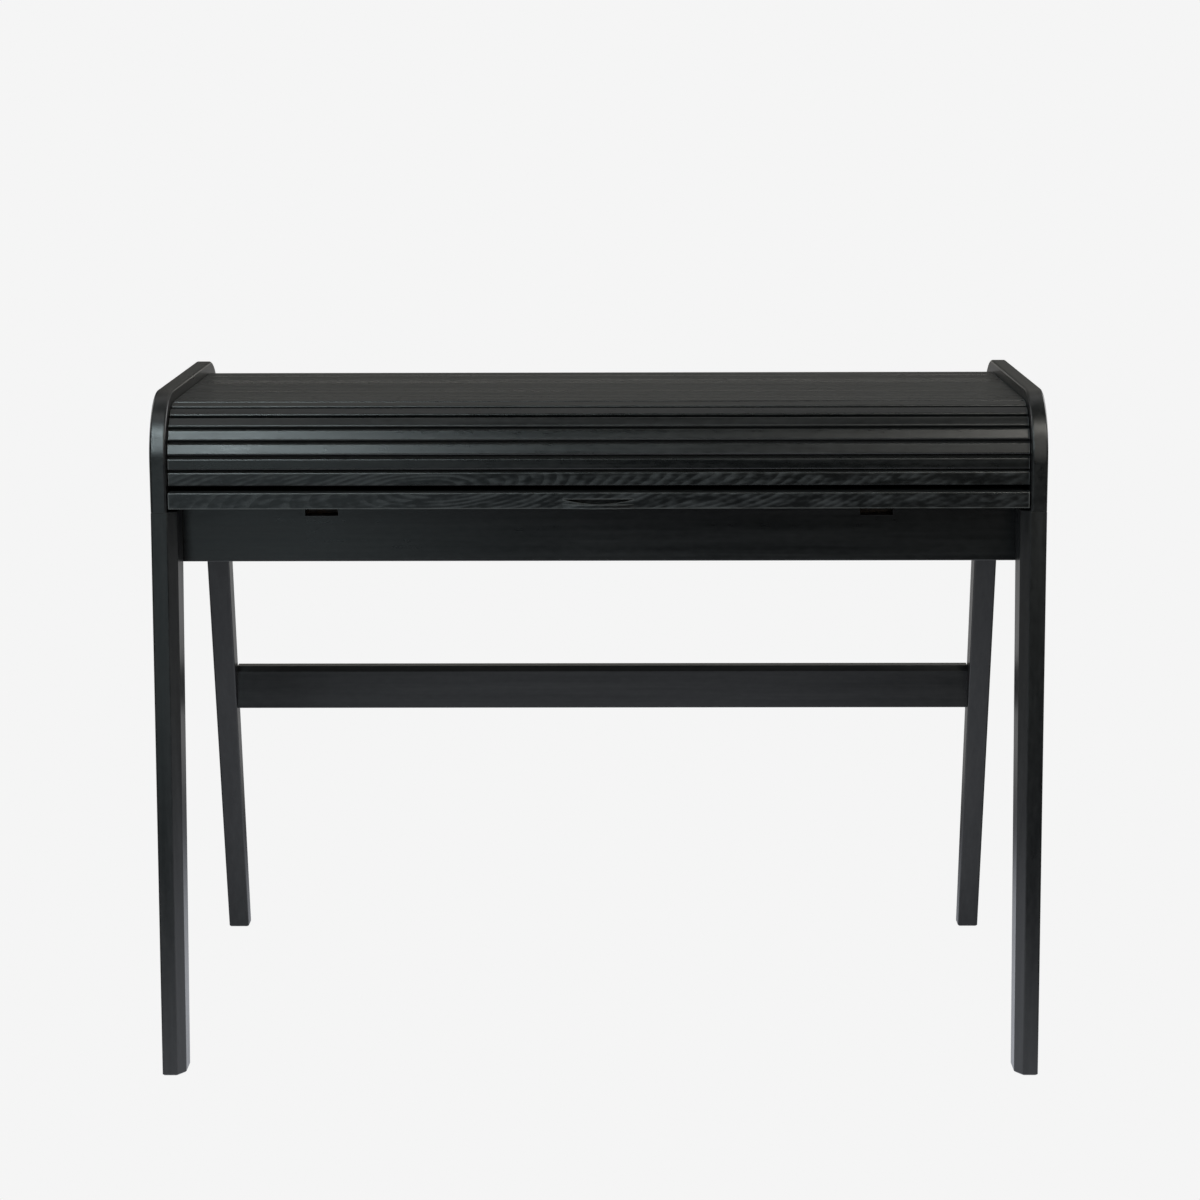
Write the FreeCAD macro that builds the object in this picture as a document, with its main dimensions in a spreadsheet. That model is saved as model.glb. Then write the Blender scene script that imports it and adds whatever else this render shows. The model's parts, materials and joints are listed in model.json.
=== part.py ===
"""Tambour desk: a writing desk on splayed legs, with a pull-out top and a slatted roll front.

Frame: +Z up, the front faces -Y, the origin is under the middle of the desk on the floor.
Lengths are in millimetres and angles in degrees.
"""
import FreeCAD
import Part

import math
import os

from FreeCAD import Placement, Rotation, Vector

DIMENSIONS = (
    # overall
    ("desk_width", 1100.0, "over the outer faces of the legs"),
    ("desk_depth", 700.0, "front of the front feet to back of the rear feet"),
    ("desk_height", 855.0, "floor to the top of the side panels"),
    # side panels
    ("panel_thickness", 20.0, "side panel board"),
    ("panel_height", 143.0, "side panel, from the seam on its legs to its top"),
    ("panel_corner", 83.0, "radius of the two upper corners of a side panel"),
    ("panel_round", 3.0, "rounding along the edges of a side panel"),
    # legs
    ("front_splay", 36.0, "how far a front foot stands before its panel"),
    ("leg_top_thick", 31.0, "leg across the desk, at the seam"),
    ("leg_foot_thick", 28.5, "leg across the desk, at the floor"),
    ("front_leg_top_depth", 62.0, "front leg, front to back, at the seam"),
    ("front_leg_foot_depth", 47.0, "front leg, front to back, at the floor"),
    ("rear_leg_top_depth", 55.0, "rear leg, front to back, at the seam"),
    ("rear_leg_foot_depth", 41.0, "rear leg, front to back, at the floor"),
    ("bevel_across", 10.5, "bevel along a leg's inner corner, across the desk"),
    ("bevel_along", 15.0, "the same bevel, front to back"),
    ("leg_round", 2.0, "rounding along the edges of a leg"),
    ("edge_round", 1.5, "rounding along the edges of the boards"),
    ("foot_ease", 1.5, "small bevel round the sole of a leg"),
    ("head_ease", 0.8, "small bevel round the top of a leg, along the seam"),
    ("glide_thick", 2.0, "foot glide"),
    ("glide_radius", 9.0, "foot glide"),
    ("dowel_radius", 4.0, "dowel between a leg and its side panel"),
    ("dowel_length", 36.0, "the same dowel"),
    ("dowel_play", 0.1, "between a dowel and the wall of its bore"),
    ("dowel_end_gap", 1.0, "between a dowel and each end of its bore"),
    ("dowel_inset", 14.0, "dowel from the front or back of a leg's top"),
    ("dowel_cover", 9.0, "middle of a dowel from the outer face"),
    # aprons and rails
    ("apron_thick", 20.0, "front apron board"),
    ("apron_drop", 71.0, "underside of the apron and rails below the seam"),
    ("joint_gap", 0.1, "glue line between boards that meet end to face"),
    ("rear_rail_thick", 18.0, "rail behind the base board"),
    ("stretcher_bottom", 347.0, "underside of the stretcher"),
    ("stretcher_height", 60.0, "stretcher board"),
    ("stretcher_thick", 26.0, "stretcher board"),
    ("stretcher_setback", 7.0, "face of the stretcher behind the rear legs' front edge"),
    ("stretcher_bevel", 7.0, "bevel along the stretcher's upper front edge"),
    ("tenon_height", 40.0, "tenon at each end of the stretcher"),
    ("tenon_thick", 12.0, "tenon at each end of the stretcher"),
    ("tenon_length", 14.0, "tenon at each end of the stretcher"),
    ("base_thick", 12.0, "base board under the pull-out top"),
    ("base_drop", 22.0, "upper face of the base board below the seam"),
    # pull-out top and its runners
    ("top_thick", 20.0, "pull-out top"),
    ("top_lift", 4.0, "underside of the pull-out top above the seam"),
    ("top_setback", 3.0, "front edge of the top behind the panels' front"),
    ("top_depth", 440.0, "pull-out top, front to back"),
    ("top_rear_room", 67.0, "behind the top, for the roll front and the back board"),
    ("top_end_gap", 1.5, "between the top and a side panel"),
    ("top_travel", 120.0, "how far the top pulls out"),
    ("stop_width", 60.0, "stop block under the top, which meets the apron when the top is out"),
    ("stop_depth", 20.0, "stop block, front to back"),
    ("stop_height", 14.0, "stop block"),
    ("stop_inset", 350.0, "middle of a stop block from the desk's outer face"),
    ("slide_gap", 0.3, "running gap of the top and its runners"),
    ("runner_inset", 204.0, "middle of a runner from the desk's outer face"),
    ("runner_width", 37.0, "runner bar"),
    ("runner_height", 17.0, "runner bar"),
    ("runner_setback", 20.0, "end of a runner behind the apron's face"),
    ("notch_side_gap", 2.0, "between a runner and the sides of its notch"),
    ("guide_wall", 12.0, "cheek of a runner guide"),
    ("pull_width", 88.0, "finger pull in the top's front edge"),
    ("pull_height", 6.0, "finger pull at its middle"),
    ("pull_reach", 11.0, "depth of the finger pull"),
    ("pull_floor", 5.5, "wood left under the finger pull"),
    ("pull_swell", 4.0, "how far the lip under the pull stands forward"),
    # roll front
    ("slat_pitch", 17.0, "from one slat to the next"),
    ("slat_space", 3.0, "open line between two slats"),
    ("slat_thick", 6.4, "slat"),
    ("slat_round", 2.0, "rounding along a slat's face"),
    ("slat_end_gap", 1.0, "between a slat's end and a side panel"),
    ("front_reveal", 12.0, "roll front behind the panels' front"),
    ("top_reveal", 14.0, "roll front below the panels' top"),
    ("rail_extra", 3.0, "how much taller the pull rail is than a slat"),
    ("cloth_thick", 0.8, "cloth that backs the slats"),
    ("cloth_gap", 0.3, "drawn between the cloth and the slats"),
    ("cloth_hem", 2.0, "cloth below the end of the rear curve"),
    ("track_play", 0.3, "between the cloth and each wall of its track in a side panel"),
    ("track_depth", 6.0, "track for the cloth's edge"),
    ("cloth_edge_gap", 1.5, "between the cloth's edge and the floor of the track"),
    # case
    ("back_thick", 10.0, "back board"),
    ("back_rise", 73.0, "upper edge of the back board above the seam"),
    ("back_drop", 132.0, "lower edge of the back board below the seam"),
    ("back_setback", 8.0, "back board before the panels' rear edge"),
    ("housing_play", 14.0, "room behind the roll front where it passes a rear leg"),
    ("shelf_thick", 8.0, "boards of the pigeonholes"),
    ("shelf_depth", 95.0, "pigeonholes, front to back"),
    ("shelf_drop", 43.0, "upper face of the pigeonholes below the panels' top"),
    ("shelf_float", 0.6, "floor of the pigeonholes above the pull-out top"),
    ("inner_back_thick", 8.0, "board behind the pigeonholes"),
    ("inner_back_gap", 47.5, "that board before the roll front, whose slats swing there"),
)
ARC_STEPS = 6
BAY_COUNT = 3

ARC_STEP = 90.0 / ARC_STEPS
NEAR = 1e-3

doc = FreeCAD.newDocument("tambour_desk")
sheet = doc.addObject("Spreadsheet::Sheet", "sizes")
for row, (alias, value, note) in enumerate(DIMENSIONS, start=1):
    sheet.set(f"A{row}", note)
    sheet.set(f"B{row}", str(value))
    sheet.setAlias(f"B{row}", alias)
doc.recompute()

nodes = []


def size(alias):
    """A driving dimension, as the sheet holds it."""
    return float(sheet.get(alias))


def bind(target, **formulas):
    """Tie properties to formulas over the sheet's aliases, written as {alias}."""
    for prop, formula in formulas.items():
        text = formula
        for alias, _, _ in DIMENSIONS:
            text = text.replace("{" + alias + "}", f"sizes.{alias}")
        target.setExpression(prop, text)


def keep(item, label):
    """Name a finished piece and put it on the list to be written."""
    item.Label = label
    nodes.append(item)
    return item


# places worked out from the driving dimensions

HALF_WIDTH = size("desk_width") / 2
PANEL_INNER = HALF_WIDTH - size("panel_thickness")
LEG_INNER = HALF_WIDTH - size("leg_top_thick")
PANEL_FRONT = size("front_splay") - size("desk_depth") / 2
TOP_FRONT = PANEL_FRONT + size("top_setback")
TOP_REAR = TOP_FRONT + size("top_depth")
PANEL_REAR = TOP_REAR + size("top_rear_room")
FOOT_REAR = size("desk_depth") / 2
SEAM = size("desk_height") - size("panel_height")
APRON_FACE = PANEL_FRONT + size("front_leg_top_depth") + size("joint_gap")
APRON_BACK = APRON_FACE + size("apron_thick")
APRON_LOWER = SEAM - size("apron_drop")
BASE_UPPER = SEAM - size("base_drop")
TOP_LOWER = SEAM + size("top_lift")
TOP_UPPER = TOP_LOWER + size("top_thick")
BACK_LOWER = SEAM - size("back_drop")
BACK_FACE = PANEL_REAR - size("back_setback")
RUNNER_SPREAD = HALF_WIDTH - size("runner_inset")
FOOT_LINE = size("glide_thick") + size("foot_ease")

PITCH = size("slat_pitch")
ROLL_FRONT = PANEL_FRONT + size("front_reveal") + size("slat_thick")
ROLL_TOP = size("desk_height") - size("top_reveal") - size("slat_thick")
ARC_RADIUS = PITCH / (2 * math.tan(math.radians(ARC_STEP / 2)))
ARC_SPAN = PITCH * sum(math.sin(math.radians(ARC_STEP * j)) for j in range(1, ARC_STEPS))
ROLL_BACK_LIMIT = BACK_FACE - size("back_thick") - size("housing_play") - size("slat_thick")
TOP_SLATS = int((ROLL_BACK_LIMIT - ROLL_FRONT - 2 * ARC_SPAN) / PITCH)
ROLL_BACK = ROLL_FRONT + 2 * ARC_SPAN + TOP_SLATS * PITCH
FRONT_UPRIGHT_SLATS = int((ROLL_TOP - ARC_SPAN - TOP_UPPER) / PITCH)
UPRIGHT_BOTTOM = ROLL_TOP - ARC_SPAN - FRONT_UPRIGHT_SLATS * PITCH


def leg_taper(at_seam, at_foot, height):
    """A place or size of a leg at a height, which changes evenly from the foot to the seam."""
    return at_foot + (at_seam - at_foot) * (height - FOOT_LINE) / (SEAM - FOOT_LINE)


def rear_leg_front(height):
    return leg_taper(
        PANEL_REAR - size("rear_leg_top_depth"), FOOT_REAR - size("rear_leg_foot_depth"), height
    )


def front_leg_back(height):
    return leg_taper(
        PANEL_FRONT + size("front_leg_top_depth"),
        PANEL_FRONT - size("front_splay") + size("front_leg_foot_depth"),
        height,
    )


# drawing helpers


def plane_of(body, role):
    return next(item for item in body.Origin.OriginFeatures if item.Role == role)


def add_sketch(body, name, role, outline, lift=0.0):
    """A closed sketch on one of the body's own planes, lifted along the plane's normal."""
    sketch = body.newObject("Sketcher::SketchObject", name)
    sketch.AttachmentSupport = [(plane_of(body, role), "")]
    sketch.MapMode = "FlatFace"
    sketch.AttachmentOffset = Placement(Vector(0, 0, lift), Rotation())
    sketch.addGeometry(outline, False)
    return sketch


def polygon(points):
    """Straight edges round a list of 2-D points."""
    corners = [Vector(x, y, 0) for x, y in points]
    return [Part.LineSegment(a, b) for a, b in zip(corners, corners[1:] + corners[:1])]


def rounded_polygon(points, radius, inset):
    """A convex polygon drawn in by an inset, with an arc of one radius at each corner."""
    corners = [Vector(x, y, 0) for x, y in points]
    arcs = []
    for before, corner, after in zip(corners[-1:] + corners[:-1], corners, corners[1:] + corners[:1]):
        to_before, to_after = (before - corner).normalize(), (after - corner).normalize()
        turn = to_before.getAngle(to_after)
        inward = (to_before + to_after) * (1 / math.sin(turn))
        tip = corner + inward * inset
        centre = tip + inward * radius
        reach = radius / math.tan(turn / 2)
        middle = centre + (tip - centre).normalize() * radius
        arcs.append(Part.Arc(tip + to_before * reach, middle, tip + to_after * reach))
    outline = []
    for this, following in zip(arcs, arcs[1:] + arcs[:1]):
        outline += [this, Part.LineSegment(this.EndPoint, following.StartPoint)]
    return outline


def arc(centre, radius, start, end):
    """Part of a circle, anticlockwise from one angle to another."""
    circle = Part.Circle(Vector(centre[0], centre[1], 0), Vector(0, 0, 1), radius)
    return Part.ArcOfCircle(circle, math.radians(start), math.radians(end))


def line(a, b):
    return Part.LineSegment(Vector(a[0], a[1], 0), Vector(b[0], b[1], 0))


def pad(body, name, sketch, length):
    """Pad a sketch; the length is a formula over the sheet."""
    feature = body.newObject("PartDesign::Pad", name)
    feature.Profile = sketch
    bind(feature, Length=length)
    return feature


def pocket(body, name, sketch, depth, along_normal=False):
    """Cut a sketch into the body, and make sure that it cut something."""
    doc.recompute()
    before = body.Shape.Volume
    feature = body.newObject("PartDesign::Pocket", name)
    feature.Profile = sketch
    feature.Reversed = along_normal
    bind(feature, Length=depth)
    doc.recompute()
    if body.Shape.Volume > before - NEAR:
        raise RuntimeError(f"{name} cuts nothing")
    return feature


def new_body(name):
    return doc.addObject("PartDesign::Body", name)


def edges_where(shape, test):
    """Names of the edges whose box passes a test."""
    return [f"Edge{i}" for i, edge in enumerate(shape.Edges, 1) if test(edge.BoundBox)]


def round_edges(body, name, radius, test):
    """Round the edges of the body's tip that pass a test."""
    doc.recompute()
    tip = body.Tip
    feature = body.newObject("PartDesign::Fillet", name)
    feature.Base = (tip, edges_where(tip.Shape, test))
    bind(feature, Radius=radius)
    doc.recompute()
    return feature


def board(name, low, high, **formulas):
    """A plain board between two corners; formulas tie its sizes to the sheet."""
    box = doc.addObject("Part::Box", name)
    box.Length, box.Width, box.Height = (b - a for a, b in zip(low, high))
    bind(box, **formulas)
    box.Placement = Placement(Vector(*low), Rotation())
    return keep(box, name)


def mirrored(source, label):
    """The same piece for the other side of the desk."""
    twin = doc.addObject("Part::Mirroring", label)
    twin.Source = source
    twin.Normal = Vector(1, 0, 0)
    twin.Base = Vector(0, 0, 0)
    return keep(twin, label)


def group(label, members):
    """Several like solids kept together in one node."""
    bundle = doc.addObject("Part::Compound", label)
    bundle.Links = members
    return keep(bundle, label)


def roll_band(inner, outer, front_low, back_low):
    """Outline, in Y and Z, of a band that follows the roll front's path.

    inner and outer are offsets from the slats' inner faces, positive outwards.
    """
    front_y, back_y = ROLL_FRONT, ROLL_BACK
    centre_z = ROLL_TOP - ARC_RADIUS
    front_centre = (front_y + ARC_RADIUS, centre_z)
    back_centre = (back_y - ARC_RADIUS, centre_z)
    out_r, in_r = ARC_RADIUS + outer, ARC_RADIUS + inner
    return [
        line((front_y - outer, front_low), (front_y - outer, centre_z)),
        arc(front_centre, out_r, 90, 180),
        line((front_centre[0], ROLL_TOP + outer), (back_centre[0], ROLL_TOP + outer)),
        arc(back_centre, out_r, 0, 90),
        line((back_y + outer, centre_z), (back_y + outer, back_low)),
        line((back_y + outer, back_low), (back_y + inner, back_low)),
        line((back_y + inner, back_low), (back_y + inner, centre_z)),
        arc(back_centre, in_r, 0, 90),
        line((back_centre[0], ROLL_TOP + inner), (front_centre[0], ROLL_TOP + inner)),
        arc(front_centre, in_r, 90, 180),
        line((front_y - inner, centre_z), (front_y - inner, front_low)),
        line((front_y - inner, front_low), (front_y - outer, front_low)),
    ]


# dowels


def upright_rods(label, radius, length, low):
    """Four round rods where the dowels of the left legs stand; radius and length are formulas."""
    front_leg = (PANEL_FRONT, PANEL_FRONT + size("front_leg_top_depth"))
    rear_leg = (PANEL_REAR - size("rear_leg_top_depth"), PANEL_REAR)
    rods = []
    for front, back in (front_leg, rear_leg):
        for y in (front + size("dowel_inset"), back - size("dowel_inset")):
            rod = doc.addObject("Part::Cylinder", label)
            bind(rod, Radius=radius, Height=length)
            rod.Placement = Placement(Vector(-HALF_WIDTH + size("dowel_cover"), y, low), Rotation())
            rods.append(rod)
    return rods


def build_dowels():
    """The dowels that join the side panels to the legs, and the bores of the left ones."""
    low = SEAM - size("dowel_length") / 2
    left = doc.addObject("Part::MultiFuse", "left_dowels")
    left.Shapes = upright_rods("dowel", "{dowel_radius}", "{dowel_length}", low)
    right = doc.addObject("Part::Mirroring", "right_dowels")
    right.Source = left
    right.Normal = Vector(1, 0, 0)
    group("leg_dowels", [left, right])
    bores = doc.addObject("Part::MultiFuse", "dowel_bores")
    bores.Shapes = upright_rods(
        "dowel_bore",
        "{dowel_radius} + {dowel_play}",
        "{dowel_length} + 2 * {dowel_end_gap}",
        low - size("dowel_end_gap"),
    )
    return bores


def cut_from(name, base, tool):
    """A piece less a tool's shape."""
    cut = doc.addObject("Part::Cut", name)
    cut.Base, cut.Tool = base, tool
    return cut


# side panels


def build_side_panels(bores):
    """A board with two round upper corners, a track for the cloth's edge and dowel bores."""
    body = new_body("side_panel_left_body")
    corner = size("panel_corner")
    top = size("desk_height")
    outline = [
        line((PANEL_FRONT, SEAM), (PANEL_FRONT, top - corner)),
        arc((PANEL_FRONT + corner, top - corner), corner, 90, 180),
        line((PANEL_FRONT + corner, top), (PANEL_REAR - corner, top)),
        arc((PANEL_REAR - corner, top - corner), corner, 0, 90),
        line((PANEL_REAR, top - corner), (PANEL_REAR, SEAM)),
        line((PANEL_REAR, SEAM), (PANEL_FRONT, SEAM)),
    ]
    pad(body, "panel_board", add_sketch(body, "panel_outline", "YZ_Plane", outline), "{panel_thickness}")
    round_edges(
        body, "panel_edges", "{panel_round}", lambda box: box.XLength < NEAR and box.ZMax > SEAM + NEAR
    )
    middle = -size("cloth_gap") - size("cloth_thick") / 2
    half = size("cloth_thick") / 2 + size("track_play")
    band = roll_band(middle - half, middle + half, UPRIGHT_BOTTOM - half, SEAM - half)
    track = add_sketch(body, "track_outline", "YZ_Plane", band, size("panel_thickness"))
    pocket(body, "track", track, "{track_depth}")
    body.Placement = Placement(Vector(-HALF_WIDTH, 0, 0), Rotation())
    bored = cut_from("panel_bored", body, bores)
    keep(bored, "side_panel_left")
    mirrored(bored, "side_panel_right")


# legs


def leg_section(thick, front_y, depth, bevel_front, scale, inset=0.0):
    """A left leg's cross-section, with a bevel on one inner corner and all corners rounded."""
    outer_x = -HALF_WIDTH
    inner_x = outer_x + thick
    back_y = front_y + depth
    across, along = size("bevel_across") * scale, size("bevel_along") * scale
    if bevel_front:
        inner = [(inner_x, back_y), (inner_x, front_y + along), (inner_x - across, front_y)]
    else:
        inner = [(inner_x - across, back_y), (inner_x, back_y - along), (inner_x, front_y)]
    return rounded_polygon([(outer_x, front_y), (outer_x, back_y)] + inner, size("leg_round"), inset)


def build_leg(name, front_at, depth_at, bevel_front):
    """A leg that tapers from the seam to the floor, with its foot and its head eased all round.

    front_at and depth_at each give the value at the seam and the value at the foot.
    """
    body = new_body(f"{name}_body")

    def section(part, height, lift, inset=0.0):
        thick = leg_taper(size("leg_top_thick"), size("leg_foot_thick"), height)
        front = leg_taper(*front_at, height)
        depth = leg_taper(*depth_at, height)
        outline = leg_section(thick, front, depth, bevel_front, thick / size("leg_top_thick"), inset)
        return add_sketch(body, f"{name}_{part}_section", "XY_Plane", outline, lift)

    neck = SEAM - size("head_ease")
    loft = body.newObject("PartDesign::AdditiveLoft", f"{name}_taper")
    loft.Profile = section("sole", FOOT_LINE, size("glide_thick"), size("foot_ease"))
    loft.Sections = [
        section("foot", FOOT_LINE, FOOT_LINE),
        section("neck", neck, neck),
        section("head", SEAM, SEAM, size("head_ease")),
    ]
    loft.Ruled = True
    return body


def build_legs(bores):
    """Front legs, and rear legs rebated to let the roll front past and mortised for the stretcher."""
    front = build_leg(
        "front_leg",
        (PANEL_FRONT, PANEL_FRONT - size("front_splay")),
        (size("front_leg_top_depth"), size("front_leg_foot_depth")),
        True,
    )
    bored = cut_from("front_leg_bored", front, bores)
    keep(bored, "front_leg_left")
    mirrored(bored, "front_leg_right")
    rear = build_leg(
        "rear_leg",
        (PANEL_REAR - size("rear_leg_top_depth"), FOOT_REAR - size("rear_leg_foot_depth")),
        (size("rear_leg_top_depth"), size("rear_leg_foot_depth")),
        False,
    )
    play = size("housing_play")
    rebate_front = rear_leg_front(SEAM) - play
    rebate = doc.addObject("Part::Box", "roll_rebate")
    rebate.Width = ROLL_BACK + size("slat_thick") + play - rebate_front
    bind(
        rebate,
        Length="{leg_top_thick}",
        Height="{back_drop} + {joint_gap}",
    )
    rebate.Placement = Placement(Vector(-PANEL_INNER, rebate_front, BACK_LOWER), Rotation())
    mortise = doc.addObject("Part::Box", "stretcher_mortise")
    fit = size("joint_gap")
    bind(
        mortise,
        Length="{tenon_length} + {leg_foot_thick}",
        Width="{tenon_thick} + 2 * {joint_gap}",
        Height="{tenon_height} + 2 * {joint_gap}",
    )
    tenon = stretcher_tenon_corner()
    mortise.Placement = Placement(
        Vector(-tenon.x - size("tenon_length") - fit, tenon.y - fit, tenon.z - fit), Rotation()
    )
    cuts = doc.addObject("Part::MultiFuse", "rear_leg_cuts")
    cuts.Shapes = [rebate, mortise, bores]
    cut_leg = cut_from("rear_leg_cut", rear, cuts)
    keep(cut_leg, "rear_leg_left")
    mirrored(cut_leg, "rear_leg_right")


def build_foot_glides():
    """A round glide under each foot."""
    inset = size("leg_foot_thick") / 2
    front_y = PANEL_FRONT - size("front_splay") + size("front_leg_foot_depth") / 2
    rear_y = FOOT_REAR - size("rear_leg_foot_depth") / 2
    glides = []
    for y in (front_y, rear_y):
        for side in (-1, 1):
            glide = doc.addObject("Part::Cylinder", "glide")
            bind(glide, Radius="{glide_radius}", Height="{glide_thick}")
            glide.Placement = Placement(Vector(side * (HALF_WIDTH - inset), y, 0), Rotation())
            glides.append(glide)
    group("foot_glides", glides)


# aprons, rails and stretcher


def build_front_apron():
    """A board behind the front legs, between the side rails, notched at its top for the two runners."""
    body = new_body("front_apron_body")
    half = PANEL_INNER - size("joint_gap")
    top = TOP_LOWER - size("slide_gap")
    low = APRON_LOWER
    notch_low = TOP_LOWER - size("runner_height") - size("slide_gap")
    notch = size("runner_width") / 2 + size("notch_side_gap")
    spread = RUNNER_SPREAD
    upper = [(half, top)]
    for centre in (spread, -spread):
        upper += [
            (centre + notch, top), (centre + notch, notch_low),
            (centre - notch, notch_low), (centre - notch, top),
        ]
    outline = polygon([(-half, low), (half, low)] + upper + [(-half, top)])
    pad(body, "apron_board", add_sketch(body, "apron_outline", "XZ_Plane", outline), "{apron_thick}")
    round_edges(
        body, "apron_edges", "{edge_round}", lambda box: box.ZMax < low + NEAR and box.YLength < NEAR
    )
    body.Placement = Placement(Vector(0, APRON_BACK, 0), Rotation())
    keep(body, "front_apron")


def build_side_rails():
    """A rail under each side panel, cut to the slope of the legs at both ends."""
    body = new_body("side_rail_left_body")
    fit = size("joint_gap")
    low = APRON_LOWER
    outline = polygon([
        (front_leg_back(low) + fit, low),
        (rear_leg_front(low) - fit, low),
        (rear_leg_front(SEAM) - fit, SEAM),
        (front_leg_back(SEAM) + fit, SEAM),
    ])
    pad(body, "rail_board", add_sketch(body, "rail_outline", "YZ_Plane", outline), "{panel_thickness}")
    round_edges(
        body, "rail_edges", "{edge_round}", lambda box: box.ZMax < low + NEAR and box.XLength < NEAR
    )
    body.Placement = Placement(Vector(-HALF_WIDTH, 0, 0), Rotation())
    keep(body, "side_rail_left")
    mirrored(body, "side_rail_right")


def stretcher_front():
    return rear_leg_front(size("stretcher_bottom")) + size("stretcher_setback")


def stretcher_tenon_corner():
    """The lower front corner where a tenon leaves the stretcher's end, on the right."""
    middle_z = size("stretcher_bottom") + size("stretcher_height") / 2
    middle_y = stretcher_front() + size("stretcher_thick") / 2
    return Vector(
        stretcher_half(), middle_y - size("tenon_thick") / 2, middle_z - size("tenon_height") / 2
    )


def stretcher_half():
    """Half the stretcher between its shoulders, against the tapering legs."""
    high = size("stretcher_bottom") + size("stretcher_height")
    inner = leg_taper(LEG_INNER, HALF_WIDTH - size("leg_foot_thick"), high)
    return inner - size("joint_gap")


def build_stretcher():
    """A board with a bevelled upper edge, tenoned into the rear legs."""
    body = new_body("stretcher_body")
    low, bevel = size("stretcher_bottom"), size("stretcher_bevel")
    high = low + size("stretcher_height")
    front = stretcher_front()
    back = front + size("stretcher_thick")
    outline = polygon([
        (front, low), (back, low), (back, high), (front + bevel, high), (front, high - bevel),
    ])
    sketch = add_sketch(body, "stretcher_section", "YZ_Plane", outline)
    board_feature = pad(body, "stretcher_board", sketch, str(2 * stretcher_half()))
    board_feature.Midplane = True
    round_edges(
        body,
        "stretcher_edges",
        "{edge_round}",
        lambda box: box.XLength > HALF_WIDTH and (box.ZMax < low + NEAR or box.YMin > back - NEAR),
    )
    corner = stretcher_tenon_corner()
    tenon = polygon([
        (corner.y, corner.z),
        (corner.y + size("tenon_thick"), corner.z),
        (corner.y + size("tenon_thick"), corner.z + size("tenon_height")),
        (corner.y, corner.z + size("tenon_height")),
    ])
    tenon_sketch = add_sketch(body, "tenon_section", "YZ_Plane", tenon)
    tenons = pad(body, "tenons", tenon_sketch, f"{2 * stretcher_half()} + 2 * {{tenon_length}}")
    tenons.Midplane = True
    keep(body, "stretcher")


def build_base():
    """The board under the pull-out top, and the rail behind it."""
    fit = size("joint_gap")
    half = PANEL_INNER - fit
    rail_back = rear_leg_front(SEAM) - fit
    rail_front = rail_back - size("rear_rail_thick")
    front, back = APRON_BACK + fit, rail_front - fit
    low = BASE_UPPER - size("base_thick")
    board("base_board", (-half, front, low), (half, back, BASE_UPPER), Height="{base_thick}")
    board(
        "rear_rail",
        (-half, rail_front, APRON_LOWER),
        (half, rail_back, SEAM),
        Width="{rear_rail_thick}",
    )
    return back


# pull-out top


def build_pull_out_top():
    """The writing top, with a finger pull cut into its front edge above a swelling lip."""
    body = new_body("desktop_board_body")
    half = PANEL_INNER - size("top_end_gap")
    low = TOP_LOWER
    outline = polygon([(-half, TOP_FRONT), (half, TOP_FRONT), (half, TOP_REAR), (-half, TOP_REAR)])
    pad(body, "top_board", add_sketch(body, "top_outline", "XY_Plane", outline, low), "{top_thick}")
    round_edges(
        body,
        "top_edge",
        "{edge_round}",
        lambda box: box.YMax < TOP_FRONT + NEAR and box.ZMin > TOP_UPPER - NEAR,
    )
    half_pull, swell = size("pull_width") / 2, size("pull_swell")
    lip_radius = (half_pull ** 2 + swell ** 2) / (2 * swell)
    lip_angle = math.degrees(math.asin(half_pull / lip_radius))
    lip_centre = (0, TOP_FRONT - swell + lip_radius)
    lip = [
        arc(lip_centre, lip_radius, 270 - lip_angle, 270 + lip_angle),
        line((half_pull, TOP_FRONT), (-half_pull, TOP_FRONT)),
    ]
    pad(body, "lip", add_sketch(body, "lip_outline", "XY_Plane", lip, low), "{pull_floor}")
    tall = size("pull_height")
    mouth_radius = (half_pull ** 2 + tall ** 2) / (2 * tall)
    mouth_angle = math.degrees(math.asin(half_pull / mouth_radius))
    mouth_top = low + size("pull_floor") + tall
    mouth = [
        arc((0, mouth_top - tall + mouth_radius), mouth_radius, 270 - mouth_angle, 270 + mouth_angle),
        line((half_pull, mouth_top), (-half_pull, mouth_top)),
    ]
    reach = size("pull_reach")
    mouth_sketch = add_sketch(body, "pull_outline", "XZ_Plane", mouth, -TOP_FRONT - reach)
    pocket(body, "finger_pull", mouth_sketch, "{pull_reach} + {pull_swell}", along_normal=True)
    keep(body, "desktop_board")


def build_top_stops():
    """Two blocks under the top, which meet the back of the apron when the top is out."""
    front = APRON_BACK + size("top_travel") + size("slide_gap")
    blocks = []
    for side in (-1, 1):
        block = doc.addObject("Part::Box", "stop_block")
        bind(block, Length="{stop_width}", Width="{stop_depth}", Height="{stop_height}")
        left = side * (HALF_WIDTH - size("stop_inset")) - size("stop_width") / 2
        corner = Vector(left, front, TOP_LOWER - size("stop_height"))
        block.Placement = Placement(corner, Rotation())
        blocks.append(block)
    group("top_stops", blocks)


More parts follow.
